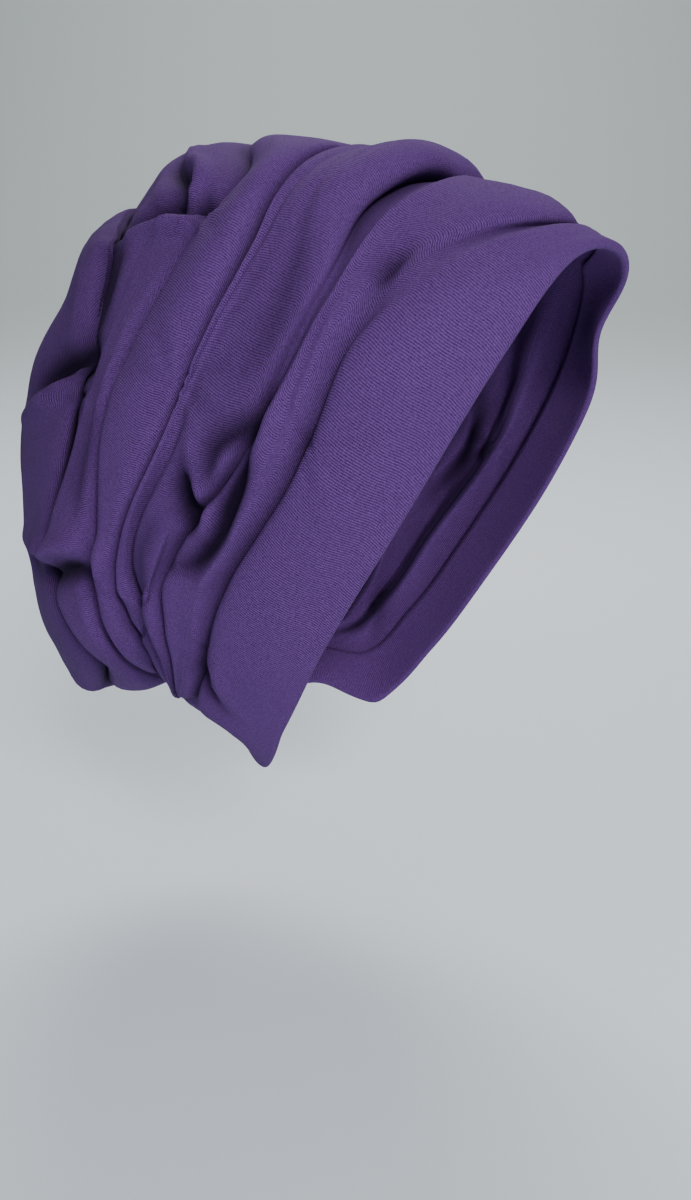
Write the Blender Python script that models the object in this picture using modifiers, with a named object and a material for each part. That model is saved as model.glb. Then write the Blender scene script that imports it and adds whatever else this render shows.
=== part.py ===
"""Ruched jersey chemo cap, as it keeps its form on a head: crown with folded face band, and back panel.

Metres, +Z up. The wearer faces -Y and the wearer's right side is -X. The origin is where the
inside of the crown sits on the top of the head.
"""
import math

import bmesh
import bpy
import numpy as np

# Size of the whole form, without its puffed rolls
FORM_LENGTH = 0.269       # hairline at the front to the back of the pouch
FORM_HEIGHT = 0.257       # nape edge to the top of the crown
FORM_WIDTH = 0.172        # over the ears
FRONT_REACH = 0.098       # hairline ahead of the origin
CROWN_RISE = 0.018        # top of the crown above the origin

# The cloth
CLOTH = 0.0016            # double jersey
HEM_ROLL = 0.0030         # radius of the soft fold along the face edge
HEM_TURN = 0.026          # how far the turned-in hem reaches behind the face edge
PUFF = 0.0100             # height of a full roll over its creases
PINCH = 0.80              # how far a crease gathers the cloth beside it, 0 to 1
SEAM_GAP = 0.0003         # clearance between crown and back panel at their seam

LEFT_DRIFT = 0.16         # how far the left side's creases stray, in rolls
LEFT_WAVE = 2.2           # how that changes from crease to crease

# Mesh steps
ROUND_STEPS = 56          # round each loop, nape to nape over the crown
ROLL_STEPS = 5            # across each roll
FOLD_STEPS = 4            # round the fold of the face edge
HEM_STEPS = 2             # across the turned-in hem
PANEL_STEPS = 6           # from the seam to the middle of the back panel
LOOP_STEPS = 161          # along each loop when its length is measured
SPAN_STEPS = 40           # loops measured for each roll
HEM_SPAN = 1.3            # rolls that the hem may lie under
HEM_READINGS = 30         # places measured across them
WELD = 0.00001            # distance within which the tube's two edges join
TINY = 1e-9               # keeps lengths that may be nothing, as at the panel's middle, countable

# The form's outline in the middle plane, as shares of its length and height from the hairline and the nape
OUTLINE = (
    # place            back   height
    ("hairline",       0.000, 0.841),
    ("over_forehead",  0.056, 0.864),
    ("crown_front",    0.178, 0.922),
    ("before_vertex",  0.309, 0.965),
    ("vertex",         0.439, 0.992),
    ("crown",          0.587, 1.000),
    ("crown_back",     0.706, 0.970),
    ("pouch_top",      0.785, 0.920),
    ("pouch_slope",    0.868, 0.825),
    ("pouch_upper",    0.946, 0.682),
    ("pouch_back",     1.000, 0.482),
    ("pouch_lower",    0.996, 0.278),
    ("pouch_turn",     0.966, 0.110),
    ("pouch_under",    0.885, 0.047),
    ("under_nape",     0.775, 0.076),
    ("nape_tuck",      0.699, 0.095),
    ("nape_edge",      0.680, 0.030),
    ("neck",           0.587, -0.060),
    ("throat",         0.364, -0.130),
    ("jaw",            0.178, -0.020),
    ("cheek",          0.048, 0.171),
    ("face",          -0.030, 0.366),
    ("brow",          -0.059, 0.560),
    ("forehead",      -0.045, 0.755),
)
UPPER_OUTLINE = 11        # rows of the outline from the hairline to the back of the pouch
FORM_CENTRE = (0.457, 0.490)     # middle of the form, as the same shares
PANEL_MIDDLE = (1.000, 0.470)    # middle of the back panel, back and height
SIDE_ROUND = 2.3          # roundness of the sides: 2 is an ellipse, more is fuller
BACK_ROUND = 0.8          # how much fuller they are towards the back
UNDER_SLACK = 0.35        # and how much flatter they fall away underneath
OPENING_OUT = 1.6         # how fast each loop widens from its ends, in half widths
OPENED_OUT = 0.45         # and the half width up to which it does

# Where each crease runs, nape to crown: the height share of its nape end, then how far back it
# lies, as a share of the form's length, at these shares of its own rise from nape to crown
RISE = (0.000, 0.015, 0.14, 0.32, 0.55, 0.80, 0.92, 1.00)
CREASES = (
    # crease        rises from  nape   under  low    ear    side   high   temple crown
    ("face_edge",  -0.010,     (0.680, 0.468, 0.381, 0.288, 0.172, 0.066, 0.024, 0.000)),
    ("band_tuck",   0.095,     (0.699, 0.575, 0.497, 0.430, 0.308, 0.226, 0.152, 0.052)),
    ("first_tuck",  0.094,     (0.708, 0.610, 0.548, 0.515, 0.384, 0.283, 0.249, 0.178)),
    ("side_tuck",   0.092,     (0.717, 0.622, 0.580, 0.591, 0.487, 0.375, 0.338, 0.309)),
    ("middle_tuck", 0.089,     (0.727, 0.655, 0.635, 0.632, 0.531, 0.432, 0.404, 0.400)),
    ("rear_tuck",   0.083,     (0.747, 0.720, 0.695, 0.668, 0.637, 0.545, 0.508, 0.570)),
    ("back_seam",   0.052,     (0.850, 0.845, 0.802, 0.816, 0.732, 0.673, 0.665, 0.775)),
    ("panel_ring",  0.130,     (0.948, 0.930, 0.915, 0.910, 0.900, 0.885, 0.885, 0.900)),
)
BACK_SEAM = 6             # the back panel begins at this crease

# How deep each crease is, 1 reaching down to the form, at the same shares of its rise
DEPTHS = (
    # crease        nape  under low   ear   side  high  temple crown
    ("face_edge",  (0.00, 0.00, 0.00, 0.00, 0.00, 0.00, 0.00, 0.00)),
    ("band_tuck",  (0.30, 0.60, 1.00, 1.00, 1.00, 0.75, 0.70, 0.95)),
    ("first_tuck", (0.00, 0.50, 1.00, 1.00, 0.90, 0.45, 1.00, 1.00)),
    ("side_tuck",  (0.00, 0.50, 1.00, 0.90, 0.20, 0.00, 0.00, 0.00)),
    ("middle_tuck", (0.00, 0.50, 1.00, 1.00, 1.00, 1.00, 0.90, 0.60)),
    ("rear_tuck",  (0.00, 0.50, 1.00, 1.00, 1.00, 1.00, 1.00, 0.60)),
    ("back_seam",  (0.40, 0.70, 1.00, 1.00, 1.00, 0.90, 0.80, 0.70)),
    ("panel_ring", (0.00, 0.00, 0.00, 0.00, 0.00, 0.00, 0.00, 0.00)),
)

# How far each roll stands out, 1 being a full PUFF, at the same shares of its rise
PUFFS = (
    # roll          nape  under low   ear   side  high  temple crown
    ("face_edge",  (0.10, 0.10, 0.10, 0.10, 0.10, 0.10, 0.10, 0.00)),
    ("band",       (0.30, 0.40, 0.45, 0.45, 0.45, 0.45, 0.40, 0.20)),
    ("first_roll", (0.20, 0.25, 0.40, 0.70, 0.80, 0.80, 0.80, 0.80)),
    ("ear_roll",   (0.15, 0.15, 0.30, 0.75, 0.90, 0.90, 0.80, 0.65)),
    ("side_roll",  (0.10, 0.10, 0.30, 0.75, 0.90, 0.90, 0.80, 0.60)),
    ("top_roll",   (0.10, 0.10, 0.35, 0.80, 0.90, 1.00, 0.85, 0.55)),
    ("rear_roll",  (0.15, 0.40, 0.90, 1.00, 1.00, 1.00, 0.90, 0.60)),
    ("back_panel", (0.40, 0.40, 0.40, 0.35, 0.30, 0.30, 0.40, 0.50)),
    ("its_round",  (0.10, 0.10, 0.10, 0.10, 0.10, 0.10, 0.10, 0.10)),
    ("its_middle", (0.00, 0.00, 0.00, 0.00, 0.00, 0.00, 0.00, 0.00)),
)

PURPLE = (0.100, 0.056, 0.225)


def natural_curve(knots, values):
    """A smooth curve through values at rising knots, as a function of the place between them."""
    x, y = np.asarray(knots, float), np.asarray(values, float)
    step = np.diff(x)
    wide = (...,) + (None,) * (y.ndim - 1)
    slope = np.diff(y, axis=0) / step[wide]
    tangent = np.concatenate([slope[:1], slope])
    before, after = step[:-1][wide], step[1:][wide]
    tangent[1:-1] = (slope[:-1] * after + slope[1:] * before) / (before + after)

    def at(place):
        q = np.clip(np.asarray(place, float), x[0], x[-1])
        i = np.clip(np.searchsorted(x, q, side="right") - 1, 0, len(x) - 2)
        h = step[i][wide]
        s = ((q - x[i]) / step[i])[wide]
        return ((2 * s**3 - 3 * s**2 + 1) * y[i] + (s**3 - 2 * s**2 + s) * h * tangent[i]
                + (3 * s**2 - 2 * s**3) * y[i + 1] + (s**3 - s**2) * h * tangent[i + 1])

    return at


def unit(vectors):
    """Vectors along the last axis at length one."""
    return vectors / (np.linalg.norm(vectors, axis=-1, keepdims=True) + TINY)


def side_place(back, height):
    """Shares of the form's length and height, as Y and Z in the middle plane."""
    return np.stack([np.asarray(back) * FORM_LENGTH - FRONT_REACH,
                     CROWN_RISE - FORM_HEIGHT + np.asarray(height) * FORM_HEIGHT], axis=-1)


CENTRE = side_place(*FORM_CENTRE)
OUTLINE_PLACES = side_place([row[1] for row in OUTLINE], [row[2] for row in OUTLINE])


def direction(places):
    """The direction of places from the form's centre, rising from its front over the crown to its back."""
    away = places - CENTRE
    return -np.arctan2(away[..., 1], away[..., 0])


def outline_radius():
    """The outline's distance from the form's centre, as a function of direction."""
    angle = np.unwrap(direction(OUTLINE_PLACES))
    radius = np.hypot(*(OUTLINE_PLACES - CENTRE).T)
    turns = np.concatenate([angle - 2 * math.pi, angle, angle + 2 * math.pi])
    curve = natural_curve(turns, np.tile(radius, 3))
    return lambda a: curve((a - angle[0]) % (2 * math.pi) + angle[0])


RADIUS = outline_radius()


def on_outline(places):
    """Places moved straight away from the form's centre, or towards it, on to its outline."""
    away = places - CENTRE
    return CENTRE + away * (RADIUS(direction(places)) / np.hypot(away[..., 0], away[..., 1]))[..., None]


def half_width(places):
    """Half the form's width at places in the middle plane: nothing at its outline."""
    away = places - CENTRE
    share = np.hypot(away[..., 0], away[..., 1]) / RADIUS(direction(places))
    back, under = np.cos(direction(places)), np.sin(direction(places))
    power = SIDE_ROUND + BACK_ROUND * np.maximum(0.0, back) ** 3 - UNDER_SLACK * np.maximum(0.0, under) ** 4
    return FORM_WIDTH / 2 * np.maximum(0.0, 1 - share ** power) ** (1 / power)


def inside(places, along, fullness):
    """Places of a loop drawn in from the outline, so that it opens out evenly from both its ends."""
    away = places - CENTRE
    share = np.hypot(away[..., 0], away[..., 1]) / RADIUS(direction(places))
    width = np.minimum(OPENED_OUT, fullness * np.minimum(along, 1 - along))
    limit = (1 - width ** SIDE_ROUND) ** (1 / SIDE_ROUND)
    return CENTRE + away * np.minimum(1.0, limit / share)[..., None]


def crease_rows():
    """Each crease's places in the middle plane at the shares of RISE, and last the middle of the back."""
    upper = OUTLINE[:UPPER_OUTLINE]
    top = natural_curve([row[1] for row in upper], [row[2] for row in upper])
    rows = []
    for name, nape, backs in CREASES:
        rows.append(side_place(backs, nape + np.asarray(RISE) * (top(backs[-1]) - nape)))
    rows.append(np.tile(on_outline(side_place(*PANEL_MIDDLE)), (len(RISE), 1)))
    return np.array(rows)


END = len(CREASES)                       # the middle of the back panel comes after the last loop
ALONG = natural_curve(range(END + 1), crease_rows())
DEPTH = natural_curve(RISE, np.array([row[1] for row in DEPTHS]).T)
PUFFED = natural_curve([0.0] + [i + 0.5 for i in range(END)] + [END], np.array([row[1] for row in PUFFS]))


def form_loop(v, u):
    """Places on the form along the loop v, and their share of the rise, for the columns u.

    v counts the creases from the face edge. u goes from the nape up the right side to the crown at
    one half, and down the left side.
    """
    knots = ALONG(v)
    knots[[0, -1]] = on_outline(knots[[0, -1]])
    pace = np.sqrt(np.hypot(*np.diff(knots, axis=0).T)) + TINY
    pace = np.concatenate([[0.0], np.cumsum(pace)]) / np.sum(pace)
    curve = natural_curve(pace, knots)
    fullness = OPENING_OUT * min(1.0, END - v)
    at = (1 - np.cos(np.linspace(0, math.pi, LOOP_STEPS))) / 2
    places = inside(curve(at), at, fullness)
    width = half_width(places)
    width[[0, -1]] = 0.0
    run = np.hypot(np.diff(width), np.hypot(*np.diff(places, axis=0).T)) + TINY
    run = np.concatenate([[0.0], np.cumsum(run)]) / np.sum(run)
    up = 1 - np.abs(1 - 2 * u)
    at = np.interp(up, run, at)
    places = inside(curve(at), at, fullness)
    width = np.where((up > 0) & (up < 1), half_width(places), 0.0)
    return np.column_stack([np.where(u < 0.5, -width, width), places]), np.interp(at, pace, RISE)


class Form:
    """The form under the rolls, read at any place v of the columns u."""

    def __init__(self, u):
        self.u = u
        span = np.linspace(0, END, END * SPAN_STEPS + 1)
        loops = [form_loop(v, u) for v in span]
        self.places = np.array([loop[0] for loop in loops])
        self.rise = np.array([loop[1] for loop in loops])
        along = np.gradient(self.places, axis=0)
        round_head = np.roll(self.places, -1, axis=1) - np.roll(self.places, 1, axis=1)
        out = np.cross(round_head, along)
        out[-1] = out[-2]
        self.out = unit(out)
        self.puff = np.array([natural_curve(RISE, PUFFED(v))(rise) for v, rise in zip(span, self.rise)])

    def read(self, table, v):
        """A table's values at v, an array with a row of columns for each row of the sheet."""
        place = np.clip(v, 0, END) * SPAN_STEPS
        i = np.minimum(place.astype(int), END * SPAN_STEPS - 1)
        s = place - i
        j = np.arange(len(self.u))
        if table.ndim == 3:
            s = s[..., None]
        return table[i, j] * (1 - s) + table[i + 1, j] * s

    def left_drift(self, v):
        """How much further back the creases of the left side lie: tucks made by hand are no pair."""
        left = np.sin(2 * math.pi * np.clip(self.u - 0.5, 0, 0.5))
        inner = np.sin(math.pi * np.clip(v / BACK_SEAM, 0, 1))
        return LEFT_DRIFT * left * inner * np.cos(LEFT_WAVE * v)

    def cloth(self, rows):
        """The outside of the cloth along the loops of rows: the form, raised in rolls between creases."""
        v = np.tile(np.asarray(rows, float)[:, None], (1, len(self.u)))
        crease = np.minimum(np.floor(v), END - 1).astype(int)
        across = v - crease
        depths = DEPTH(self.read(self.rise, v))
        depths = np.concatenate([depths, np.zeros(v.shape + (1,))], axis=-1)
        near = crease + (across >= 0.5)
        depth = np.take_along_axis(depths, near[..., None], axis=-1)[..., 0]
        v = v - PINCH * depth * np.sin(2 * math.pi * across) / (2 * math.pi)
        v = v + self.left_drift(v)
        valley = depth * (1 + np.cos(2 * math.pi * across)) / 2
        height = PUFF * self.read(self.puff, v) * (1 - valley)
        out = unit(self.read(self.out, v))
        return self.read(self.places, v) + out * height[..., None], out


def hem(form):
    """The soft fold along the face edge and the hem turned in behind it, from its inner end."""
    reach = np.linspace(0, HEM_SPAN, HEM_READINGS)
    places, out = form.cloth(reach)
    inner = places - 2 * HEM_ROLL * out
    run = np.linalg.norm(np.diff(places, axis=0), axis=2)
    run = np.concatenate([np.zeros((1, len(form.u))), np.cumsum(run, axis=0)])
    forward = unit(places[0] - places[1])
    rows = []
    columns = range(len(form.u))
    for i in range(HEM_STEPS, 0, -1):
        back = HEM_TURN * i / HEM_STEPS
        rows.append([[np.interp(back, run[:, j], inner[:, j, k]) for k in range(3)] for j in columns])
    for i in range(FOLD_STEPS, 0, -1):
        turn = math.pi * i / FOLD_STEPS
        rows.append(places[0] + HEM_ROLL * ((math.cos(turn) - 1) * out[0] + math.sin(turn) * forward))
    return np.array(rows)


def sheet_object(name, sheet, material, collection):
    """An object from rows of places round the head: a grid closed to a tube and thickened inwards."""
    rows, columns = sheet.shape[:2]
    bm = bmesh.new()
    bmesh.ops.create_grid(bm, x_segments=columns, y_segments=rows - 1, size=1.0)
    for vert in bm.verts:
        i = round((vert.co.y + 1) / 2 * (rows - 1))
        j = round((vert.co.x + 1) / 2 * columns) % columns
        vert.co = sheet[i, j]
    bmesh.ops.remove_doubles(bm, verts=bm.verts, dist=WELD)
    mesh = bpy.data.meshes.new(name)
    bm.to_mesh(mesh)
    bm.free()
    mesh.shade_smooth()
    mesh.materials.append(material)
    obj = bpy.data.objects.new(name, mesh)
    collection.objects.link(obj)
    wall = obj.modifiers.new("cloth", "SOLIDIFY")
    wall.thickness = CLOTH
    wall.offset = -1.0
    return obj


def jersey(name, colour):
    """Matte cotton jersey."""
    material = bpy.data.materials.new(name)
    material.use_nodes = True
    shader = material.node_tree.nodes["Principled BSDF"]
    shader.inputs["Base Color"].default_value = (*colour, 1.0)
    shader.inputs["Roughness"].default_value = 0.9
    shader.inputs["Metallic"].default_value = 0.0
    return material


def crown(form, collection):
    """The crown and its face band, one cut of jersey: hem, fold, band and ruched rolls up to the seam."""
    rows = np.linspace(0, BACK_SEAM, BACK_SEAM * ROLL_STEPS + 1)
    places, _ = form.cloth(rows)
    sheet = np.concatenate([hem(form), places])
    return sheet_object("crown", sheet, jersey("jersey_crown", PURPLE), collection)


def back_panel(form, collection):
    """The panel that closes the pouch behind the seam."""
    rows = np.linspace(BACK_SEAM, END, PANEL_STEPS + 1)
    places, _ = form.cloth(rows)
    places[0] += SEAM_GAP * unit(places[1] - places[0])
    return sheet_object("back_panel", places, jersey("jersey_panel", PURPLE), collection)


def build():
    """The whole cap in its own collection."""
    for obj in list(bpy.data.objects):
        bpy.data.objects.remove(obj)
    collection = bpy.data.collections.new("chemo_cap")
    bpy.context.scene.collection.children.link(collection)
    form = Form(np.arange(ROUND_STEPS) / ROUND_STEPS)
    crown(form, collection)
    back_panel(form, collection)


build()
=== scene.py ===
import math

import bmesh
import bpy
import numpy as np
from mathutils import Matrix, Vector, noise


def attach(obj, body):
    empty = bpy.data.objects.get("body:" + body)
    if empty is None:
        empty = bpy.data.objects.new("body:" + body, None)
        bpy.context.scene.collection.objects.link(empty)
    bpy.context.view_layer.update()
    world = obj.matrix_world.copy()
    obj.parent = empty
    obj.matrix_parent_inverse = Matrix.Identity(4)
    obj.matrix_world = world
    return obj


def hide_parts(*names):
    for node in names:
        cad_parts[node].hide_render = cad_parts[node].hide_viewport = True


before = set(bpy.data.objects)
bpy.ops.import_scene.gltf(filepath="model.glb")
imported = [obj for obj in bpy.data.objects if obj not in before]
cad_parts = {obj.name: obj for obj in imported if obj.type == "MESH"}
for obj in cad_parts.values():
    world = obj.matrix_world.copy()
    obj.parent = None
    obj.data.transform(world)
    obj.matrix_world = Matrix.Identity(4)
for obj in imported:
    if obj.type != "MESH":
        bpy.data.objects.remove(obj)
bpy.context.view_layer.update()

# The form under the cloth, in metres: the wearer faces -Y, +Z is up, and the crown sits at the origin
FORM_LENGTH = 0.269       # hairline at the front to the back of the pouch
FORM_HEIGHT = 0.257       # nape edge to the top of the crown
FORM_WIDTH = 0.172        # over the ears
FRONT_REACH = 0.098       # hairline ahead of the origin
CROWN_RISE = 0.018        # top of the crown above the origin

# The cloth
JERSEY = 0.0012           # thickness of the double jersey as it shows at its edges
HEM_ROLL = 0.0019         # radius of the soft fold along the face edge
HEM_TURN = 0.026          # how far the turned-in hem reaches behind the face edge
PUFF = 0.0120             # height of a full roll over its creases
PINCH = 0.82              # how far a crease gathers the cloth beside it, 0 to 1
SHARPNESS = 2.1           # how narrow a crease is: 1 is a wave
SEAM_DIP = 0.0010         # how deep the seam of the back panel sinks
SEAM_WIDTH = 0.03         # how far it does so to each side, in rolls
EDGE_CALM = 0.25          # rolls behind the face edge over which folds and wrinkles set in
MIDDLE_CALM = 0.5         # rolls round the middle of the back panel over which they die away
TUCK_SHADE_LINE = 2.2           # how narrowly the painted shade keeps to the bottom of a tuck
FOLD_SHADE_DEPTH = 0.0055        # depth of a smaller fold at which its painted shade is full
LEFT_DRIFT = 0.16         # how far the left side's creases stray, in rolls
LEFT_WAVE = 2.2           # how that changes from crease to crease
# Each cut of cloth: round the head by front to back with the hem, or across by up, then its area
CUT_CROWN = (0.760, 0.288, 0.175)        # a band widest over the crown and narrow at the nape
CUT_PANEL = (0.258, 0.277, 0.057)        # an oval
RIB_WAY = (-0.519, 0.855)        # Y and Z of the way along the face edge
RIB_LEVEL = -0.090               # where along it the ribs run square to it, in metres
RIB_START = 5                    # columns beside the nape where that place isn't looked for
RIB_EASE = 6                     # rows to each side over which it is evened out

# Mesh steps
ROUND_STEPS = 300         # round each loop, nape to nape over the crown
ROLL_STEPS = 24           # across each roll
CREASE_STEPS = 0.70       # how far these steps crowd towards the creases
CROWD_STEPS = 400         # readings of how they crowd
FOLD_STEPS = 6            # round the fold of the face edge
HEM_STEPS = 8             # across the turned-in hem
PANEL_STEPS = 36          # seam to the middle of the back panel
LOOP_STEPS = 161          # along each loop when its length is measured
SPAN_STEPS = 40           # loops measured for each roll
HEM_SPAN = 0.80           # rolls that the hem may lie under
HEM_READINGS = 30         # places measured across them
WELD = 0.00001            # distance within which the tube's two edges join
TINY = 1e-9

# The form's outline in the middle plane, as shares of its length and height from the hairline and the nape
OUTLINE = (
    # place            back   height
    ("hairline",       0.000, 0.841),
    ("over_forehead",  0.056, 0.857),
    ("crown_front",    0.178, 0.882),
    ("before_vertex",  0.309, 0.965),
    ("vertex",         0.439, 0.992),
    ("crown",          0.587, 1.000),
    ("crown_back",     0.706, 0.970),
    ("pouch_top",      0.785, 0.920),
    ("pouch_slope",    0.868, 0.825),
    ("pouch_upper",    0.946, 0.682),
    ("pouch_back",     1.000, 0.482),
    ("pouch_lower",    0.996, 0.278),
    ("pouch_turn",     0.966, 0.110),
    ("pouch_under",    0.885, 0.047),
    ("under_nape",     0.775, 0.076),
    ("nape_tuck",      0.699, 0.095),
    ("nape_edge",      0.680, 0.030),
    ("neck",           0.587, -0.060),
    ("throat",         0.364, -0.130),
    ("jaw",            0.178, -0.020),
    ("cheek",          0.048, 0.171),
    ("face",          -0.030, 0.366),
    ("brow",          -0.059, 0.560),
    ("forehead",      -0.045, 0.755),
)
UPPER_OUTLINE = 11        # rows of the outline from the hairline to the back of the pouch
FORM_CENTRE = (0.457, 0.490)     # middle of the form, as the same shares
PANEL_MIDDLE = (1.000, 0.470)    # middle of the back panel, back and height
SIDE_ROUND = 2.3          # roundness of the sides: 2 is an ellipse, more is fuller
BACK_ROUND = 0.8          # how much fuller they are towards the back
UNDER_SLACK = 0.35        # and how much flatter they fall away underneath
OPENING_OUT = 1.6         # how fast each loop widens from its ends, in half widths
OPENED_OUT = 0.45         # and the half width up to which it does

# Where each crease runs, nape to crown: the height share of its nape end, then how far back it
# lies, as a share of the form's length, at these shares of its own rise from nape to crown
RISE = (0.000, 0.015, 0.14, 0.32, 0.55, 0.80, 0.92, 1.00)
CREASES = (
    # crease        rises from  nape   under  low    ear    side   high   temple crown
    ("face_edge",  -0.010,     (0.680, 0.468, 0.381, 0.288, 0.172, 0.066, 0.024, 0.000)),
    ("band_tuck",   0.095,     (0.699, 0.572, 0.490, 0.418, 0.298, 0.222, 0.158, 0.062)),
    ("first_tuck",  0.094,     (0.708, 0.610, 0.548, 0.508, 0.374, 0.284, 0.286, 0.262)),
    ("side_tuck",   0.092,     (0.717, 0.622, 0.568, 0.575, 0.472, 0.368, 0.346, 0.314)),
    ("middle_tuck", 0.089,     (0.727, 0.655, 0.635, 0.614, 0.502, 0.409, 0.394, 0.388)),
    ("rear_tuck",   0.083,     (0.747, 0.720, 0.682, 0.646, 0.610, 0.500, 0.464, 0.560)),
    ("back_seam",   0.052,     (0.850, 0.845, 0.748, 0.800, 0.732, 0.694, 0.700, 0.785)),
    ("panel_ring",  0.130,     (0.948, 0.930, 0.915, 0.910, 0.900, 0.885, 0.885, 0.900)),
)
BACK_SEAM = 6             # the back panel begins at this crease

# How deep each crease is, 1 reaching down to the form, at the same shares of its rise
DEPTHS = (
    # crease        nape  under low   ear   side  high  temple crown
    ("face_edge",  (0.00, 0.00, 0.00, 0.00, 0.00, 0.00, 0.00, 0.00)),
    ("band_tuck",  (0.30, 0.60, 1.00, 1.00, 1.00, 0.55, 0.35, 1.00)),
    ("first_tuck", (0.00, 0.50, 1.00, 1.00, 0.90, 0.45, 1.00, 1.00)),
    ("side_tuck",  (0.00, 0.60, 1.00, 1.00, 0.25, 0.00, 0.00, 0.00)),
    ("middle_tuck", (0.00, 0.50, 1.00, 1.00, 1.00, 1.00, 0.90, 0.60)),
    ("rear_tuck",  (0.00, 0.50, 1.00, 1.00, 1.00, 1.00, 1.00, 0.60)),
    ("back_seam",  (0.40, 0.70, 1.00, 1.00, 1.00, 0.90, 0.80, 0.70)),
    ("panel_ring", (0.00, 0.00, 0.00, 0.00, 0.00, 0.00, 0.00, 0.00)),
)

# How far the roll behind each crease leans forward over it, in rolls: less than nothing where the
# roll in front leans back over it instead
LEANS = (
    # crease        nape  under  low    ear    side   high   temple crown
    ("face_edge",  (0.00, 0.00,  0.00,  0.00,  0.00,  0.00,  0.00, 0.00)),
    ("band_tuck",  (0.00, 0.00, -0.10, -0.10, -0.12, -0.05,  0.06, 0.18)),
    ("first_tuck", (0.00, 0.00, -0.16, -0.12,  0.05,  0.14,  0.18, 0.20)),
    ("side_tuck",  (0.00, 0.00, -0.16, -0.16, -0.05,  0.00,  0.00, 0.00)),
    ("middle_tuck", (0.00, 0.00, 0.00,  0.08,  0.16,  0.18,  0.16, 0.12)),
    ("rear_tuck",  (0.00, 0.00, -0.05, -0.10, -0.12, -0.14, -0.08, 0.00)),
    ("back_seam",  (0.00, 0.00,  0.00,  0.00,  0.10,  0.16,  0.14, 0.10)),
    ("panel_ring", (0.00, 0.00,  0.00,  0.00,  0.00,  0.00,  0.00, 0.00)),
)

# How far each roll stands out, 1 being a full PUFF, at the same shares of its rise
PUFFS = (
    # roll          nape  under low   ear   side  high  temple crown
    ("face_edge",  (0.10, 0.10, 0.10, 0.10, 0.10, 0.10, 0.10, 0.00)),
    ("band",       (0.25, 0.35, 0.45, 0.50, 0.50, 0.50, 0.40, 0.05)),
    ("first_roll", (0.15, 0.25, 0.60, 0.80, 0.80, 0.80, 0.80, 1.15)),
    ("ear_roll",   (0.10, 0.25, 0.85, 1.00, 0.90, 0.90, 0.85, 0.80)),
    ("side_roll",  (0.10, 0.15, 0.55, 0.75, 0.90, 0.85, 0.70, 0.25)),
    ("top_roll",   (0.10, 0.20, 0.75, 0.95, 1.05, 1.10, 0.95, 0.35)),
    ("rear_roll",  (0.15, 0.40, 0.90, 0.95, 0.70, 0.20, 0.20, 0.60)),
    ("back_panel", (0.40, 0.40, 0.40, 0.35, 0.30, 0.30, 0.40, 0.50)),
    ("its_round",  (0.10, 0.10, 0.10, 0.10, 0.10, 0.10, 0.10, 0.10)),
    ("its_middle", (0.00, 0.00, 0.00, 0.00, 0.00, 0.00, 0.00, 0.00)),
)

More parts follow.
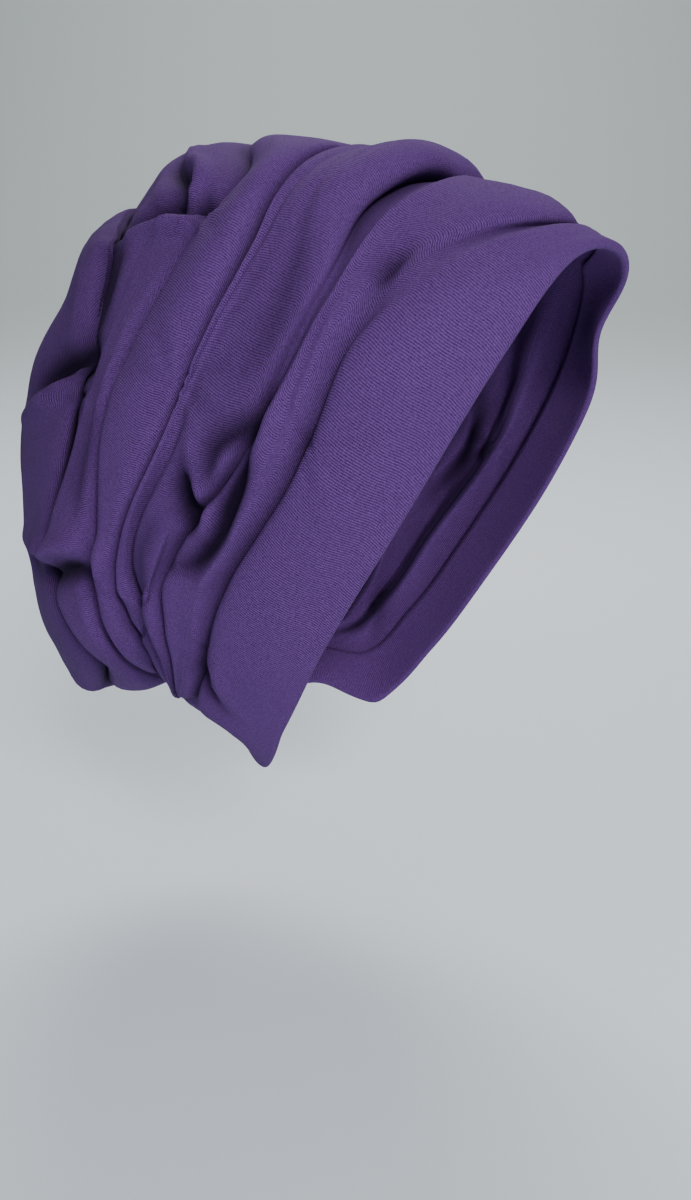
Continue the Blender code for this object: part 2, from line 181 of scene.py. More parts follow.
# Smaller folds drawn on the finished rolls. A place is (crease count from the face edge, share of the
# way round from the nape over the right side). Depth and reach are in metres, lip is a share of depth
FOLDS = (
    # fold             depth   reach   lip   places
    ("tuck_tail",      0.0090, 0.0046, 0.4, ((2.02, 0.315), (1.80, 0.293), (1.66, 0.276), (1.56, 0.258),
                                             (1.50, 0.238), (1.55, 0.219), (1.72, 0.208))),
    ("fan_fold",       0.0050, 0.0050, 0.5, ((2.14, 0.310), (2.28, 0.296), (2.40, 0.282), (2.36, 0.266),
                                             (2.16, 0.242))),
    ("knuckle_fold",   0.0090, 0.0042, 0.5, ((2.60, 0.266), (2.48, 0.255), (2.30, 0.244), (2.05, 0.234),
                                             (1.90, 0.228))),
    ("ear_pocket",     0.0110, 0.0045, 0.2, ((3.02, 0.205), (3.02, 0.185), (3.03, 0.165), (3.05, 0.148))),
    ("nape_pocket",    0.0062, 0.0042, 0.4, ((1.12, 0.172), (0.95, 0.158), (0.70, 0.147), (0.55, 0.142))),
    ("band_dimple",    0.0045, 0.0045, 0.4, ((1.30, 0.410), (1.24, 0.396), (1.17, 0.384))),
    ("soft_roll_fold", 0.0028, 0.0090, 0.4, ((2.60, 0.410), (2.50, 0.370), (2.45, 0.340), (2.55, 0.300))),
    ("crown_knot",     0.0085, 0.0042, 0.8, ((5.47, 0.460), (5.47, 0.440), (5.45, 0.415), (5.48, 0.400),
                                             (5.52, 0.390))),
    ("rear_bridge",    0.0070, 0.0048, 1.0, ((5.08, 0.387), (5.30, 0.388), (5.55, 0.394), (5.88, 0.404))),
    ("rear_soft_fold", 0.0035, 0.0060, 0.5, ((5.45, 0.280), (5.40, 0.250), (5.42, 0.225), (5.38, 0.205))),
    ("panel_dent",     0.0105, 0.0060, 0.9, ((6.02, 0.316), (6.20, 0.323), (6.44, 0.328), (6.75, 0.327))),
    ("panel_lip",      0.0050, 0.0050, 1.2, ((5.93, 0.335), (5.93, 0.360), (5.94, 0.390), (5.95, 0.415))),
    ("pouch_shelf",    0.0090, 0.0058, 0.9, ((6.60, 0.195), (6.10, 0.188), (5.75, 0.182), (5.40, 0.176),
                                             (5.10, 0.168))),
    ("ear_side_fold",  0.0030, 0.0060, 0.5, ((2.55, 0.235), (2.60, 0.210), (2.62, 0.190), (2.58, 0.170))),
    ("left_fold",      0.0060, 0.0060, 0.5, ((2.50, 0.640), (2.40, 0.690), (2.30, 0.740), (2.10, 0.780))),
    ("left_tail",      0.0060, 0.0055, 0.4, ((1.95, 0.680), (1.60, 0.705), (1.45, 0.735), (1.50, 0.770))),
    ("left_knuckle",   0.0055, 0.0055, 0.5, ((4.50, 0.720), (4.40, 0.760), (4.45, 0.800))),
    ("left_bridge",    0.0045, 0.0050, 0.8, ((5.05, 0.610), (5.40, 0.625), (5.80, 0.620))),
    ("left_dent",      0.0060, 0.0065, 0.7, ((5.90, 0.700), (6.20, 0.690), (6.60, 0.695))),
    ("nape_side",      0.0040, 0.0050, 0.4, ((1.10, 0.845), (0.85, 0.860), (0.60, 0.870))),
)
FOLD_READINGS = 12        # places read along a fold for each place given
FOLD_ENDS = 0.04          # share of its path at each end where its depth stays even
FOLD_TAPER = 0.6          # how bluntly it dies away towards its ends: 1 is a wave
FOLD_SIDES = 1.3          # how its sides fall: 1 is a sharp line and 2 a soft dent
LIP_AWAY = 1.7            # reaches from a fold to the top of its lip
LIP_LIMIT = 3             # reaches at which the lip has died away

# Where a few stitches hold a tuck: the cloth puckers round them
TACKS = (
    # tack           place          depth   reach
    ("band_tack",   (1.00, 0.305), 0.0030, 0.007),
    ("middle_tack", (4.00, 0.305), 0.0035, 0.007),
    ("rear_tack",   (5.12, 0.379), 0.0055, 0.006),
    ("low_tack",    (4.90, 0.169), 0.0040, 0.006),
    ("nape_tack",   (1.05, 0.165), 0.0025, 0.005),
    ("seam_tack",   (6.00, 0.302), 0.0025, 0.006),
    ("left_tack",   (4.00, 0.660), 0.0035, 0.007),
    ("left_rear",   (5.00, 0.800), 0.0030, 0.007),
    ("left_band",   (1.00, 0.720), 0.0030, 0.007),
)
PUCKERS = 7               # little rays round a tack
PUCKER_HEIGHT = 0.45      # their height, as a share of the tack's depth
PUCKER_START = 0.5        # reaches from the stitches at which they begin
PUCKER_REACH = 1.6        # reaches over which they die away
TACK_DIMPLE = 0.6         # radius of the dimple at the stitches, in reaches
RAY_SQUARE_TO = (0.2, 0.3, 1.0)  # the first ray runs square to this

# Where the cloth is pulled out of its even form: the middle of each pull, how far it goes, and its reach
PULLS = (
    # pull             middle                      move                        reach
    ("nape_point",    (-0.051, 0.027, -0.243),    (0.0010, -0.0010, -0.0020),  0.008),
    ("nape_side",     (-0.043, 0.060, -0.235),    (0.0010, -0.0045, 0.0120),   0.020),
    ("nape_corner",   (-0.037, 0.066, -0.238),    (-0.0010, 0.0020, -0.0060),  0.007),
    ("nape_point_left", (0.051, 0.027, -0.243),   (-0.0010, -0.0010, -0.0020), 0.008),
    ("nape_side_left", (0.044, 0.060, -0.235),    (-0.0010, -0.0040, 0.0100),  0.020),
    ("nape_corner_left", (0.034, 0.068, -0.238),  (0.0010, 0.0020, -0.0050),   0.008),
    ("tuck_hollow",   (0.003, -0.050, 0.004),     (0.0000, 0.0010, -0.0080),   0.013),
    ("band_hollow",   (0.015, -0.081, -0.013),    (-0.0020, 0.0030, -0.0080),  0.009),
    ("nape_band",     (-0.058, 0.045, -0.227),    (0.0040, -0.0040, 0.0070),   0.012),
    ("pouch_corner",  (-0.050, 0.134, -0.222),    (0.0000, 0.0035, -0.0040),   0.012),
    ("pouch_corner_left", (0.045, 0.134, -0.222), (0.0000, 0.0030, -0.0030),   0.014),
    ("knot_hollow",   (-0.043, 0.096, 0.000),     (0.0010, -0.0060, -0.0070),  0.018),
    ("seam_hollow",   (-0.045, 0.064, 0.019),     (0.0000, 0.0000, -0.0030),   0.010),
    ("panel_hollow",  (-0.057, 0.128, -0.038),    (0.0010, -0.0055, -0.0020),  0.018),
    ("far_edge",      (0.056, -0.088, -0.056),    (-0.0040, 0.0070, 0.0000),   0.022),
)

# Long soft wrinkles that follow the rolls
WRINKLES = (
    # wrinkle  round the head  over the rolls  shifted  height
    ("broad",  2.2,            1.7,            0.0,     0.0016),
    ("long",   3.5,            5.0,            5.0,     0.0009),
)
UNEVEN = 0.0004           # height of the small unevenness of worn jersey
UNEVEN_PACE = 70.0        # and how often it comes in a metre
EDGE_WRINKLED = 0.25      # share of all these that the face edge has

# The knit
MM = 0.001
RIB = 0.95 * MM           # one rib to the next, which shows as a fine stripe
STITCH = 0.80 * MM        # one row of stitches to the next, along a rib
STRAY = 0.50 * MM         # how far a rib strays from its line
STRAYS = 0.12 / MM        # and how often: once in about 8 mm
FIBRES = 1.4 / MM         # flecks of fibre, a little finer than the ribs
PATCHES = 0.028 / MM      # duller patches, about 36 mm across
RELIEF = 0.40 * MM        # how far ribs and fibres stand out
WAVE = math.pi / 10       # a wave texture of scale 1 repeats after this length
CROWN_DYE = ("#754e96", "#2a123e", "#503370")    # on top of the ribs, between them, and in duller patches
SHADED_PANEL_DYE = ("#684586", "#261038", "#472d63")    # the same on the back panel, darker all over: painted shade, as it faces away from the light
CREASE_SHADE_COLOUR = "#12071f"   # painted shade at the bottom of tucks and folds, where less light reaches
CREASE_SHADE_MOST = 0.95          # the most of this painted shade that shows
SHEEN = "#b592cf"

# The camera stands at the wearer's right, a little in front and above
CAMERA_PLACE = (-0.383, -0.224, -0.057)
CAMERA_TURN = 32.0        # degrees from +X towards +Y that it looks
CAMERA_DROP = 14.5        # degrees that it looks down
CAMERA_LENS = 30.6
CAMERA_FILM = 36.0
FLOOR = -0.345            # the table top lies this far below the crown

# The room, from the crown the way the camera looks
FLOOR_REACH = 0.45        # where the paper stops lying flat
WALL_BEND = 0.90          # radius of its bend from there up the wall
PAPER_TURNS = 0.35        # height over which the painted shade comes in, from white to grey
WALL_HEIGHT = 3.0
ROOM_WIDTH = 6.0
BEND_STEPS = 14
# The paper is white: its grey is painted shade on the wall, which less light reaches.
WHITE_PAPER, SHADED_PAPER = "#f3f9ff", "#acb2b2"
ROOM_LIGHT, ROOM_STRENGTH = "#dde7f0", 0.31
LIGHTS = (
    # light     watts  size  place                 looks at
    ("window",  27.0,  0.50, (-1.05, -1.14, 0.66), (0.0, 0.03, -0.12)),
    ("ceiling", 27.0,  1.0,  (1.05, 0.65, 1.1),    (0.45, 0.28, -0.35)),
)


def natural_curve(knots, values):
    """A smooth curve through values at rising knots, as a function of the place between them."""
    x, y = np.asarray(knots, float), np.asarray(values, float)
    step = np.diff(x)
    wide = (...,) + (None,) * (y.ndim - 1)
    slope = np.diff(y, axis=0) / step[wide]
    tangent = np.concatenate([slope[:1], slope])
    before, after = step[:-1][wide], step[1:][wide]
    tangent[1:-1] = (slope[:-1] * after + slope[1:] * before) / (before + after)

    def at(place):
        q = np.clip(np.asarray(place, float), x[0], x[-1])
        i = np.clip(np.searchsorted(x, q, side="right") - 1, 0, len(x) - 2)
        h = step[i][wide]
        s = ((q - x[i]) / step[i])[wide]
        return ((2 * s**3 - 3 * s**2 + 1) * y[i] + (s**3 - 2 * s**2 + s) * h * tangent[i]
                + (3 * s**2 - 2 * s**3) * y[i + 1] + (s**3 - s**2) * h * tangent[i + 1])

    return at


def unit(vectors):
    """Vectors along the last axis at length one."""
    return vectors / (np.linalg.norm(vectors, axis=-1, keepdims=True) + TINY)


def side_place(back, height):
    """Shares of the form's length and height, as Y and Z in the middle plane."""
    return np.stack([np.asarray(back) * FORM_LENGTH - FRONT_REACH,
                     CROWN_RISE - FORM_HEIGHT + np.asarray(height) * FORM_HEIGHT], axis=-1)


CENTRE = side_place(*FORM_CENTRE)
OUTLINE_PLACES = side_place([row[1] for row in OUTLINE], [row[2] for row in OUTLINE])


def direction(places):
    """The direction of places from the form's centre, rising from its front over the crown to its back."""
    away = places - CENTRE
    return -np.arctan2(away[..., 1], away[..., 0])


def outline_radius():
    """The outline's distance from the form's centre, as a function of direction."""
    angle = np.unwrap(direction(OUTLINE_PLACES))
    radius = np.hypot(*(OUTLINE_PLACES - CENTRE).T)
    turns = np.concatenate([angle - 2 * math.pi, angle, angle + 2 * math.pi])
    curve = natural_curve(turns, np.tile(radius, 3))
    return lambda a: curve((a - angle[0]) % (2 * math.pi) + angle[0])


RADIUS = outline_radius()


def on_outline(places):
    """Places moved straight away from the form's centre, or towards it, on to its outline."""
    away = places - CENTRE
    return CENTRE + away * (RADIUS(direction(places)) / np.hypot(away[..., 0], away[..., 1]))[..., None]


def half_width(places):
    """Half the form's width at places in the middle plane: nothing at its outline."""
    away = places - CENTRE
    share = np.hypot(away[..., 0], away[..., 1]) / RADIUS(direction(places))
    back, under = np.cos(direction(places)), np.sin(direction(places))
    power = SIDE_ROUND + BACK_ROUND * np.maximum(0.0, back) ** 3 - UNDER_SLACK * np.maximum(0.0, under) ** 4
    return FORM_WIDTH / 2 * np.maximum(0.0, 1 - share ** power) ** (1 / power)


def inside(places, along, fullness):
    """Places of a loop drawn in from the outline, so that it opens out evenly from both its ends."""
    away = places - CENTRE
    share = np.hypot(away[..., 0], away[..., 1]) / RADIUS(direction(places))
    width = np.minimum(OPENED_OUT, fullness * np.minimum(along, 1 - along))
    limit = (1 - width ** SIDE_ROUND) ** (1 / SIDE_ROUND)
    return CENTRE + away * np.minimum(1.0, limit / share)[..., None]


def crease_rows():
    """Each crease's places in the middle plane at the shares of RISE, and last the middle of the back."""
    upper = OUTLINE[:UPPER_OUTLINE]
    top = natural_curve([row[1] for row in upper], [row[2] for row in upper])
    rows = []
    for name, nape, backs in CREASES:
        rows.append(side_place(backs, nape + np.asarray(RISE) * (top(backs[-1]) - nape)))
    rows.append(np.tile(on_outline(side_place(*PANEL_MIDDLE)), (len(RISE), 1)))
    return np.array(rows)


END = len(CREASES)                       # the middle of the back panel comes after the last loop
ALONG = natural_curve(range(END + 1), crease_rows())
DEPTH = natural_curve(RISE, np.array([row[1] for row in DEPTHS]).T)
LEAN = natural_curve(RISE, np.array([row[1] for row in LEANS]).T)
PUFFED = natural_curve([0.0] + [i + 0.5 for i in range(END)] + [END], np.array([row[1] for row in PUFFS]))


def form_loop(v, u):
    """Places on the form along the loop v, and their share of the rise, for the columns u.

    v counts the creases from the face edge. u goes from the nape up the right side to the crown at
    one half, and down the left side.
    """
    knots = ALONG(v)
    knots[[0, -1]] = on_outline(knots[[0, -1]])
    pace = np.sqrt(np.hypot(*np.diff(knots, axis=0).T)) + TINY
    pace = np.concatenate([[0.0], np.cumsum(pace)]) / np.sum(pace)
    curve = natural_curve(pace, knots)
    fullness = OPENING_OUT * min(1.0, END - v)
    at = (1 - np.cos(np.linspace(0, math.pi, LOOP_STEPS))) / 2
    places = inside(curve(at), at, fullness)
    width = half_width(places)
    width[[0, -1]] = 0.0
    run = np.hypot(np.diff(width), np.hypot(*np.diff(places, axis=0).T)) + TINY
    run = np.concatenate([[0.0], np.cumsum(run)]) / np.sum(run)
    up = 1 - np.abs(1 - 2 * u)
    at = np.interp(up, run, at)
    places = inside(curve(at), at, fullness)
    width = np.where((up > 0) & (up < 1), half_width(places), 0.0)
    return np.column_stack([np.where(u < 0.5, -width, width), places]), np.interp(at, pace, RISE)


class Form:
    """The form under the rolls, read at any place v of the columns u."""

    def __init__(self, u):
        self.u = u
        span = np.linspace(0, END, END * SPAN_STEPS + 1)
        loops = [form_loop(v, u) for v in span]
        self.places = np.array([loop[0] for loop in loops])
        self.rise = np.array([loop[1] for loop in loops])
        along = np.gradient(self.places, axis=0)
        round_head = np.roll(self.places, -1, axis=1) - np.roll(self.places, 1, axis=1)
        out = np.cross(round_head, along)
        out[-1] = out[-2]
        self.out = unit(out)
        self.puff = np.array([natural_curve(RISE, PUFFED(v))(rise) for v, rise in zip(span, self.rise)])

    def read(self, table, v):
        """A table's values at v, an array with a row of columns for each row of the sheet."""
        place = np.clip(v, 0, END) * SPAN_STEPS
        i = np.minimum(place.astype(int), END * SPAN_STEPS - 1)
        s = place - i
        j = np.arange(len(self.u))
        if table.ndim == 3:
            s = s[..., None]
        return table[i, j] * (1 - s) + table[i + 1, j] * s

    def left_drift(self, v):
        """How much further back the creases of the left side lie: tucks made by hand are no pair."""
        left = np.sin(2 * math.pi * np.clip(self.u - 0.5, 0, 0.5))
        inner = np.sin(math.pi * np.clip(v / BACK_SEAM, 0, 1))
        return LEFT_DRIFT * left * inner * np.cos(LEFT_WAVE * v)

    def cloth(self, rows):
        """The outside of the cloth along the loops of rows: the form, raised in rolls between creases."""
        v = np.tile(np.asarray(rows, float)[:, None], (1, len(self.u)))
        crease = np.minimum(np.floor(v), END - 1).astype(int)
        across = v - crease
        near = np.minimum(crease + (across >= 0.5), END - 1)[..., None]
        rise = self.read(self.rise, v)
        depth = np.take_along_axis(DEPTH(rise), near, axis=-1)[..., 0] * (v < END - 0.5)
        lean = np.take_along_axis(LEAN(rise), near, axis=-1)[..., 0] * (v < END - 0.5)
        v = v - PINCH * depth * np.sin(2 * math.pi * across) / (2 * math.pi)
        v = v - lean * np.sin(2 * math.pi * across) ** 2
        v = v + self.left_drift(v)
        valley = depth * ((1 + np.cos(2 * math.pi * across)) / 2) ** SHARPNESS
        height = PUFF * self.read(self.puff, v) * (1 - valley)
        out = unit(self.read(self.out, v))
        return self.read(self.places, v) + out * height[..., None], out, valley


def grid_place(places, rows, place):
    """The point of the cloth at (crease count, share of the way round)."""
    i = np.interp(place[0], rows, np.arange(len(rows)))
    j = place[1] * places.shape[1]
    i0, j0 = int(min(i, len(rows) - 2)), int(j)
    s, t = i - i0, j - j0
    a = places[i0] * (1 - s) + places[i0 + 1] * s
    return a[j0 % len(a)] * (1 - t) + a[(j0 + 1) % len(a)] * t


def fold_heights(places, rows, out):
    """How far the smaller folds and the tacks sink or lift each point of the cloth."""
    height = np.zeros(places.shape[:2])
    for name, depth, reach, lip, path in FOLDS:
        curve = natural_curve(range(len(path)), np.array([grid_place(places, rows, p) for p in path]))
        line = curve(np.linspace(0, len(path) - 1, FOLD_READINGS * len(path)))
        near = np.linalg.norm(places[:, :, None] - line[None, None], axis=-1)
        k = near.argmin(axis=-1)
        away = near.min(axis=-1) / reach
        along = np.clip(k / (len(line) - 1), FOLD_ENDS, 1 - FOLD_ENDS)
        taper = np.sin(math.pi * along) ** FOLD_TAPER
        ahead = unit(np.gradient(line, axis=0))[k]
        side = np.einsum("ijk,ijk->ij", np.cross(out, ahead), places - line[k]) / reach
        valley = np.exp(-away ** FOLD_SIDES)
        bank = np.exp(-(side - LIP_AWAY) ** 2) * np.exp(-(away / LIP_LIMIT) ** 4)
        height += taper * depth * (lip * bank - valley)
    for name, place, depth, reach in TACKS:
        gap = (places - grid_place(places, rows, place)) / reach
        away = np.linalg.norm(gap, axis=-1)
        east = unit(np.cross(out, RAY_SQUARE_TO))
        north = np.cross(out, east)
        turn = np.arctan2(np.einsum("ijk,ijk->ij", gap, north), np.einsum("ijk,ijk->ij", gap, east))
        begun = 1 - np.exp(-(away / PUCKER_START) ** 2)
        rays = np.cos(PUCKERS * turn) * np.exp(-away / PUCKER_REACH) * begun
        height += depth * (PUCKER_HEIGHT * rays - np.exp(-(away / TACK_DIMPLE) ** 2))
    return height


def pulled(sheet):
    """The sheet with each of the PULLS."""
    for name, middle, move, reach in PULLS:
        away = np.linalg.norm(sheet - np.array(middle), axis=-1)
        sheet = sheet + np.exp(-(away / reach) ** 2)[..., None] * np.array(move)
    return sheet


def loose_wrinkles(places, rows):
    """Long soft wrinkles that follow the rolls, and the small unevenness of worn jersey."""
    height = np.zeros(places.shape[:2])
    columns = places.shape[1]
    for i, v in enumerate(rows):
        for j in range(columns):
            turn = 2 * math.pi * j / columns
            round_head = Vector((math.cos(turn), math.sin(turn), 0.0))
            for name, around, over, shift, rise in WRINKLES:
                height[i, j] += rise * noise.noise(round_head * around + Vector((shift, 0.0, over * v)))
            height[i, j] += UNEVEN * noise.noise(Vector(places[i, j]) * UNEVEN_PACE)
        height[i] *= min(1.0, EDGE_WRINKLED + (1 - EDGE_WRINKLED) * v)
    return height


def roll_rows():
    """The crease counts of the sheet's rows, closer together beside the creases."""
    fine = np.linspace(0, 1, CROWD_STEPS)
    crowded = fine - CREASE_STEPS * np.sin(2 * math.pi * fine) / (2 * math.pi)
    across = np.interp(np.arange(ROLL_STEPS) / ROLL_STEPS, crowded, fine)
    rows = (np.arange(BACK_SEAM)[:, None] + across[None, :]).ravel()
    return np.concatenate([rows, [BACK_SEAM]])


def down_the_columns(sheet):
    """Lengths along each column of a sheet, from its first row."""
    step = np.linalg.norm(np.diff(sheet, axis=0), axis=2)
    return np.concatenate([np.zeros((1, sheet.shape[1])), np.cumsum(step, axis=0)])


def closed(lengths):
    """Lengths with their first column again at the end, where the sheet closes to a tube."""
    return np.concatenate([lengths, lengths[:, :1]], axis=1)


def hem(form):
    """The soft fold along the face edge and the hem turned in behind it, from its inner end."""
    places, out = form.cloth(np.linspace(0, HEM_SPAN, HEM_READINGS))[:2]
    inner = places - 2 * HEM_ROLL * out
    run = down_the_columns(places)
    forward = unit(places[0] - places[1])
    columns = range(len(form.u))
    rows = []
    for i in range(HEM_STEPS, 0, -1):
        back = HEM_TURN * i / HEM_STEPS
        rows.append([[np.interp(min(back, run[-1, j] * i / HEM_STEPS), run[:, j], inner[:, j, k])
                      for k in range(3)] for j in columns])
    for i in range(FOLD_STEPS, 0, -1):
        turn = math.pi * i / FOLD_STEPS
        rows.append(places[0] + HEM_ROLL * ((math.cos(turn) - 1) * out[0] + math.sin(turn) * forward))
    return np.array(rows)


def round_the_loops(sheet):
    """Lengths along each row from the crown, and lengths along each column, in metres.

    The ribs lie square to the face edge over the ears, where each row's lengths are brought level.
    """
    middle = sheet.shape[1] // 2
    step = np.linalg.norm(np.roll(sheet, -1, axis=1) - sheet, axis=2)
    run = np.concatenate([np.zeros((len(sheet), 1)), np.cumsum(step, axis=1)], axis=1)
    across = run - run[:, middle:middle + 1]
    level = sheet[..., 1] * RIB_WAY[0] + sheet[..., 2] * RIB_WAY[1]
    side = slice(RIB_START, middle)
    right = np.array([np.interp(RIB_LEVEL, row[side], -run[side]) for row, run in zip(level, across)])
    even = np.ones(2 * RIB_EASE + 1) / (2 * RIB_EASE + 1)
    right = np.convolve(np.pad(right, RIB_EASE, mode="edge"), even, mode="valid")[:, None]
    ramp = np.clip(np.abs(across) / right, 0, 1)
    across = np.sign(across) * (np.abs(across) - (right - right[0]) * ramp)
    return across, closed(down_the_columns(sheet))


def from_the_middle(sheet):
    """Flat lengths across and up the back panel, measured out from its middle."""
    away = down_the_columns(sheet[::-1])[::-1]
    ring = sheet[0] - sheet[-1]
    turn = np.arctan2(ring[:, 2], ring[:, 0])
    return closed(away * np.cos(turn)), closed(away * np.sin(turn))


def sheet_object(name, sheet, lengths, painted_shade_share, material):
    """A piece from rows of places round the head: a grid closed to a tube, thickened inwards."""
    rows, columns = sheet.shape[:2]
    bm = bmesh.new()
    knit = bm.loops.layers.uv.new("knit")
    # Each point keeps the share of painted crease shade that its colour takes.
    painted_crease_shade = bm.verts.layers.float.new("painted_crease_shade")
    verts = [[bm.verts.new(sheet[i, j]) for j in range(columns)] for i in range(rows)]
    for i in range(rows):
        for j in range(columns):
            verts[i][j][painted_crease_shade] = painted_shade_share[i, j]
    across, along = lengths
    for i in range(rows - 1):
        for j in range(columns):
            k = (j + 1) % columns
            corners = ((i, j, j), (i, k, j + 1), (i + 1, k, j + 1), (i + 1, j, j))
            face = bm.faces.new([verts[a][b] for a, b, c in corners])
            face.smooth = True
            for loop, (a, b, c) in zip(face.loops, corners):
                loop[knit].uv = (across[a, c], along[a, c])
    bmesh.ops.remove_doubles(bm, verts=bm.verts, dist=WELD)
    mesh = bpy.data.meshes.new(name)
    bm.to_mesh(mesh)
    bm.free()
    mesh.materials.append(material)
    obj = bpy.data.objects.new(name, mesh)
    bpy.context.scene.collection.objects.link(obj)
    wall = obj.modifiers.new("jersey", "SOLIDIFY")
    wall.thickness = JERSEY
    wall.offset = -1.0
    return obj


def linear(colour):
    """An sRGB hex colour as linear RGBA."""
    parts = [int(colour[i:i + 2], 16) / 255 for i in (1, 3, 5)]
    return tuple(c / 12.92 if c <= 0.04045 else ((c + 0.055) / 1.055) ** 2.4 for c in parts) + (1.0,)


def add(tree, kind, links=(), **settings):
    """A node with its settings, and links given as (socket, value or output)."""
    node = tree.nodes.new(kind)
    for key, value in settings.items():
        setattr(node, key, value)
    for socket, source in links:
        if isinstance(source, bpy.types.NodeSocket):
            tree.links.new(source, node.inputs[socket])
        else:
            node.inputs[socket].default_value = source
    return node


def start_material(name):
    """A new material, its nodes and its shader."""
    material = bpy.data.materials.new(name)
    material.use_nodes = True
    return material, material.node_tree, material.node_tree.nodes["Principled BSDF"]


COLOUR_A, COLOUR_B, MIXED = 6, 7, 2      # sockets of a mix node that mixes colours


def knit_jersey(name, pale, deep, dull):
    """Cotton jersey, knitted with fine ribs and dyed in the piece.

    Matt and a little fuzzy: a broad soft sheen, no gloss. The ribs run the way it was knitted and show
    as fine stripes, and the fibres give fine flecks. Painted shade darkens it along the bottom of tucks and
    folds.
    """
    material, tree, shader = start_material(name)
    lengths = add(tree, "ShaderNodeUVMap", uv_map="knit").outputs[0]
    place = add(tree, "ShaderNodeTexCoord").outputs["Object"]
    stray = add(tree, "ShaderNodeTexNoise", [("Vector", place), ("Scale", STRAYS), ("Detail", 3.0)])
    stray = add(tree, "ShaderNodeVectorMath", [(0, stray.outputs["Color"]), (1, (0.5, 0.5, 0.5))],
                operation="SUBTRACT")
    stray = add(tree, "ShaderNodeVectorMath", [(0, stray.outputs[0]), ("Scale", STRAY)], operation="SCALE")
    thread = add(tree, "ShaderNodeVectorMath", [(0, lengths), (1, stray.outputs[0])]).outputs[0]
    ribs = add(tree, "ShaderNodeTexWave",
               [("Vector", thread), ("Scale", WAVE / RIB), ("Distortion", 0.6), ("Detail", 1.0),
                ("Detail Scale", 2.0)], wave_type="BANDS", bands_direction="X")
    stitches = add(tree, "ShaderNodeTexWave",
                   [("Vector", thread), ("Scale", WAVE / STITCH), ("Distortion", 1.0), ("Detail", 1.0),
                    ("Detail Scale", 3.0)], wave_type="BANDS", bands_direction="Y")
    fibre = add(tree, "ShaderNodeTexNoise",
                [("Vector", place), ("Scale", FIBRES), ("Detail", 4.0), ("Roughness", 0.7)])
    patches = add(tree, "ShaderNodeTexNoise", [("Vector", place), ("Scale", PATCHES), ("Detail", 3.0)])
    knit = add(tree, "ShaderNodeMath",
               [(0, stitches.outputs["Fac"]), (1, 0.30), (2, ribs.outputs["Fac"])], operation="MULTIPLY_ADD")
    surface = add(tree, "ShaderNodeMath",
                  [(0, fibre.outputs["Fac"]), (1, 2.5), (2, knit.outputs[0])], operation="MULTIPLY_ADD")
    on_top = add(tree, "ShaderNodeMapRange",
                 [("Value", surface.outputs[0]), ("From Min", 1.0), ("From Max", 2.8)])
    dye = add(tree, "ShaderNodeMix",
              [(0, on_top.outputs[0]), (COLOUR_A, linear(deep)), (COLOUR_B, linear(pale))], data_type="RGBA")
    share = add(tree, "ShaderNodeMapRange",
                [("Value", patches.outputs["Fac"]), ("From Min", 0.3), ("From Max", 0.7), ("To Min", 0.0),
                 ("To Max", 0.28)])
    dye = add(tree, "ShaderNodeMix",
              [(0, share.outputs[0]), (COLOUR_A, dye.outputs[MIXED]), (COLOUR_B, linear(dull))],
              data_type="RGBA")
    # Painted shade: the colour darkens along the bottom of tucks and folds, where less light reaches.
    painted_crease_shade = add(tree, "ShaderNodeAttribute", attribute_name="painted_crease_shade")
    share = add(tree, "ShaderNodeMath", [(0, painted_crease_shade.outputs["Fac"]), (1, CREASE_SHADE_MOST)], operation="MULTIPLY")
    dye = add(tree, "ShaderNodeMix",
              [(0, share.outputs[0]), (COLOUR_A, dye.outputs[MIXED]), (COLOUR_B, linear(CREASE_SHADE_COLOUR))],
              data_type="RGBA")
    bump = add(tree, "ShaderNodeBump",
               [("Height", surface.outputs[0]), ("Strength", 0.60), ("Distance", RELIEF)])
    tree.links.new(dye.outputs[MIXED], shader.inputs["Base Color"])
    tree.links.new(bump.outputs[0], shader.inputs["Normal"])
    shader.inputs["Roughness"].default_value = 0.88
    shader.inputs["IOR"].default_value = 1.46
    shader.inputs["Specular IOR Level"].default_value = 0.12
    shader.inputs["Sheen Weight"].default_value = 0.05
    shader.inputs["Sheen Roughness"].default_value = 0.4
    shader.inputs["Sheen Tint"].default_value = linear(SHEEN)
    return material


def sweep_paper():
    """Matt white background paper in one sweep, with painted shade greying it where it stands up."""
    material, tree, shader = start_material("matt_background_paper")
    place = add(tree, "ShaderNodeTexCoord").outputs["Object"]
    axes = add(tree, "ShaderNodeSeparateXYZ", [(0, place)])
    # Painted shade: greyer where the paper stands up as a wall.
    up = add(tree, "ShaderNodeMapRange",
             [("Value", axes.outputs["Z"]), ("From Min", FLOOR), ("From Max", FLOOR + PAPER_TURNS)],
             interpolation_type="SMOOTHSTEP")
    paper = add(tree, "ShaderNodeMix",
                [(0, up.outputs[0]), (COLOUR_A, linear(WHITE_PAPER)), (COLOUR_B, linear(SHADED_PAPER))],
                data_type="RGBA")
    tree.links.new(paper.outputs[MIXED], shader.inputs["Base Color"])
    shader.inputs["Roughness"].default_value = 0.9
    return material


def folded_cloth(form, rows):
    """The cloth with its folds and wrinkles, and the share of painted crease shade at each place, 0 to 1."""
    places, out, valley = form.cloth(rows)
    folds = fold_heights(places, rows, out)
    # Painted shade: how far the colour is darkened along the bottom of tucks and deeper folds.
    tuck_shade = np.maximum(valley, 0.0) ** TUCK_SHADE_LINE
    fold_shade = np.clip(-folds / FOLD_SHADE_DEPTH, 0, 1)
    edge = np.clip(rows / EDGE_CALM, 0, 1)[:, None]
    middle = np.clip((END - rows) / MIDDLE_CALM, 0, 1)[:, None]
    height = (folds + loose_wrinkles(places, rows)) * edge * middle
    height -= SEAM_DIP * np.exp(-((rows - BACK_SEAM) / SEAM_WIDTH) ** 2)[:, None]
    return pulled(places + out * height[..., None]), np.clip(tuck_shade + fold_shade, 0, 1)


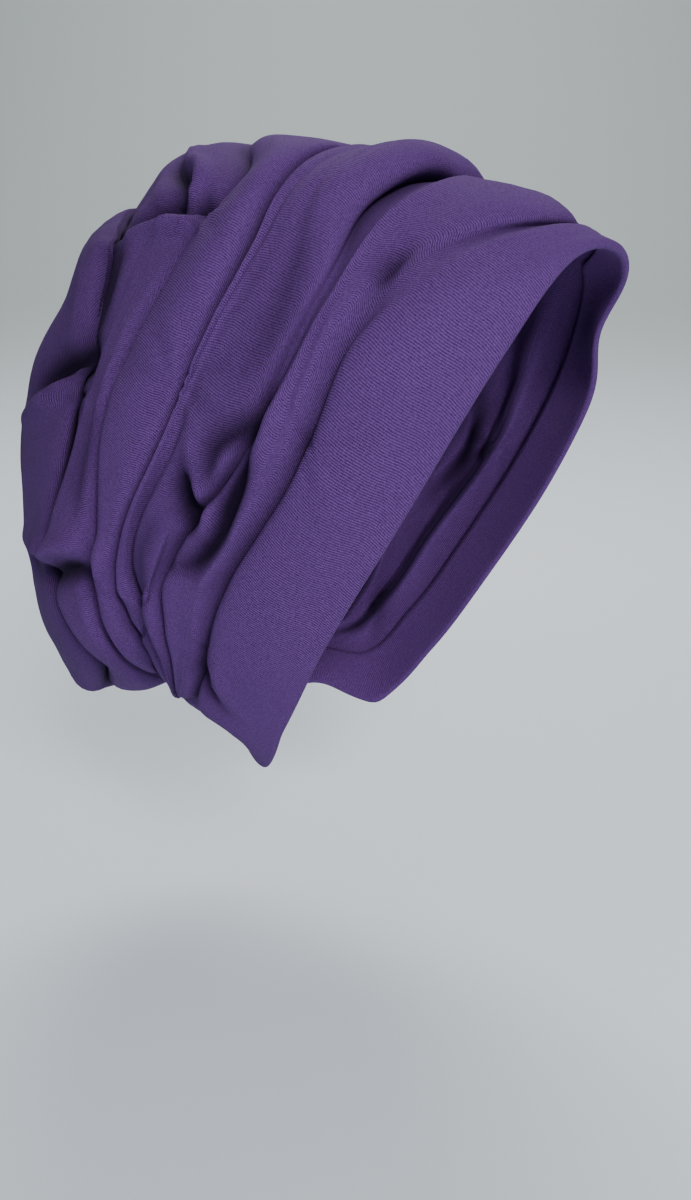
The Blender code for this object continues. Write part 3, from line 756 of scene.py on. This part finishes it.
def make_cap():
    """The crown with its band, and the back panel, in place of the plain solids."""
    form = Form(np.arange(ROUND_STEPS) / ROUND_STEPS)
    crown_rows = roll_rows()
    panel_rows = np.linspace(BACK_SEAM, END, PANEL_STEPS + 1)
    # With the places comes the share of painted crease shade at each.
    places, painted_shade_share = folded_cloth(form, np.concatenate([crown_rows, panel_rows[1:]]))
    turned_in = pulled(hem(form))
    seam = len(crown_rows)
    sheet = np.concatenate([turned_in, places[:seam]])
    crown = sheet_object("ruched_crown", sheet, round_the_loops(sheet),
                         np.concatenate([np.zeros(turned_in.shape[:2]), painted_shade_share[:seam]]),
                         knit_jersey("purple_cotton_jersey", *CROWN_DYE))
    sheet = places[seam - 1:]
    # The back panel takes a darker copy of the same jersey: painted shade, as it faces away from the light.
    panel = sheet_object("pouch_panel", sheet, from_the_middle(sheet), painted_shade_share[seam - 1:],
                         knit_jersey("purple_cotton_jersey_panel_shaded", *SHADED_PANEL_DYE))
    for piece, node, cut in ((crown, "crown", CUT_CROWN), (panel, "back_panel", CUT_PANEL)):
        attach(piece, "root")
        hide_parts(node)


def lay_paper():
    """A pale floor that turns up into a wall behind the cap."""
    turn = math.radians(CAMERA_TURN)
    across = Vector((math.sin(turn), -math.cos(turn), 0.0)) * ROOM_WIDTH / 2
    away = Vector((math.cos(turn), math.sin(turn), 0.0))
    bend = [(FLOOR_REACH + WALL_BEND * math.sin(a), WALL_BEND * (1 - math.cos(a)))
            for a in np.linspace(0, math.pi / 2, BEND_STEPS)]
    bm = bmesh.new()
    strips = []
    for back, up in [(-ROOM_WIDTH / 2, 0.0)] + bend + [(bend[-1][0], WALL_HEIGHT)]:
        foot = away * back + Vector((0.0, 0.0, FLOOR + up))
        strips.append([bm.verts.new(foot + across * side) for side in (-1, 1)])
    for a, b in zip(strips, strips[1:]):
        bm.faces.new((a[0], a[1], b[1], b[0])).smooth = True
    mesh = bpy.data.meshes.new("floor")
    bm.to_mesh(mesh)
    bm.free()
    mesh.materials.append(sweep_paper())
    floor = bpy.data.objects.new("floor", mesh)
    bpy.context.scene.collection.objects.link(floor)


def light_room():
    """Soft light from a window in front, a broad one over the paper, and an even light all round."""
    world = bpy.data.worlds.new("room")
    bpy.context.scene.world = world
    world.use_nodes = True
    background = world.node_tree.nodes["Background"]
    background.inputs["Color"].default_value = linear(ROOM_LIGHT)
    background.inputs["Strength"].default_value = ROOM_STRENGTH
    for name, watts, size, place, target in LIGHTS:
        light = bpy.data.lights.new(name, "AREA")
        light.energy, light.size = watts, size
        lamp = bpy.data.objects.new(name, light)
        lamp.location = place
        lamp.rotation_euler = (Vector(target) - Vector(place)).to_track_quat("-Z", "Y").to_euler()
        bpy.context.scene.collection.objects.link(lamp)


def place_camera():
    """The camera at the photo's place, with its lens."""
    lens = bpy.data.cameras.new("camera")
    lens.sensor_fit = "VERTICAL"
    lens.sensor_height = CAMERA_FILM
    lens.lens = CAMERA_LENS
    lens.clip_start = 0.01
    camera = bpy.data.objects.new("camera", lens)
    turn, drop = math.radians(CAMERA_TURN), math.radians(CAMERA_DROP)
    ahead = Vector((math.cos(turn) * math.cos(drop), math.sin(turn) * math.cos(drop), -math.sin(drop)))
    camera.location = CAMERA_PLACE
    camera.rotation_euler = ahead.to_track_quat("-Z", "Y").to_euler()
    bpy.context.scene.collection.objects.link(camera)
    bpy.context.scene.camera = camera


make_cap()
lay_paper()
light_room()
place_camera()
